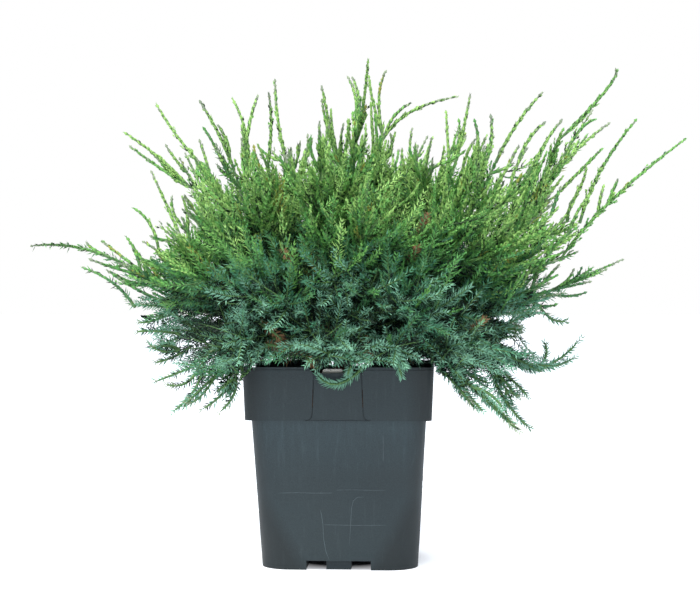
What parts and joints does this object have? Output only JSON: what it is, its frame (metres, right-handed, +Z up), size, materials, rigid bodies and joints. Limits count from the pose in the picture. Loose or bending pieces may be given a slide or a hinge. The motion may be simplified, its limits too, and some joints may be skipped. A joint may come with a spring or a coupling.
{
  "type": "potted juniper shrub",
  "caption": "Low, wide evergreen shrub with arching whip-like shoots of needles, rooted in a square dark grey nursery pot with a deep rim band.",
  "frame": {"origin": "centre of the pot's flat underside, on the floor", "axes": "+Z up, -Y towards the picture's camera, which is the pot's front, +X to the right in the picture, the side of the longest shoots"},
  "size_m": [0.8169, 0.5484, 0.6261],
  "materials": {
    "pot_plastic": "moulded, dark slate grey, faint sheen",
    "potting_mix": "dark, loose, crumbly",
    "tag_plastic": "blank, white, smooth",
    "bark": "fibrous, peeling, reddish brown",
    "fresh_foliage": "satin yellow-green scale leaves",
    "sea_green_foliage": "matt blue-green needles"
  },
  "bodies": {
    "root": {"bough_back_left_high": "bark", "bough_back_left_low": "bark", "bough_back_right_high": "bark", "bough_back_right_low": "bark", "bough_front_left_drooping": "bark", "bough_front_left_low": "bark", "bough_front_middle_low": "bark", "bough_front_right_drooping": "bark", "bough_front_right_high": "bark", "bough_front_right_low": "bark", "bough_front_top": "bark", "bough_left_drooping": "bark", "bough_left_high": "bark", "bough_left_long": "bark", "bough_left_low": "bark", "bough_left_middle": "bark", "bough_left_shoulder": "bark", "bough_right_arm": "bark", "bough_right_drooping": "bark", "bough_right_high": "bark", "bough_right_long": "bark", "bough_right_low": "bark", "bough_right_lower": "bark", "bough_right_shoulder": "bark", "bough_top_left": "bark", "bough_top_right": "bark", "bough_top_whip": "bark", "foliage_back_left_high": "fresh_foliage", "foliage_back_left_low": "sea_green_foliage", "foliage_back_right_high": "fresh_foliage", "foliage_back_right_low": "sea_green_foliage", "foliage_front_left_drooping": "sea_green_foliage", "foliage_front_left_low": "sea_green_foliage", "foliage_front_middle_low": "sea_green_foliage", "foliage_front_right_drooping": "sea_green_foliage", "foliage_front_right_high": "fresh_foliage", "foliage_front_right_low": "sea_green_foliage", "foliage_front_top": "fresh_foliage", "foliage_left_drooping": "sea_green_foliage", "foliage_left_high": "fresh_foliage", "foliage_left_long": "sea_green_foliage", "foliage_left_low": "sea_green_foliage", "foliage_left_middle": "fresh_foliage", "foliage_left_shoulder": "fresh_foliage", "foliage_right_arm": "sea_green_foliage", "foliage_right_drooping": "sea_green_foliage", "foliage_right_high": "fresh_foliage", "foliage_right_long": "fresh_foliage", "foliage_right_low": "sea_green_foliage", "foliage_right_lower": "sea_green_foliage", "foliage_right_shoulder": "fresh_foliage", "foliage_top": "fresh_foliage", "foliage_top_left": "fresh_foliage", "foliage_top_right": "fresh_foliage", "foliage_top_whip": "fresh_foliage", "pot": "pot_plastic", "potting_mix": "potting_mix", "tag": "tag_plastic", "trunk": "bark"}
  },
  "joints": []
}
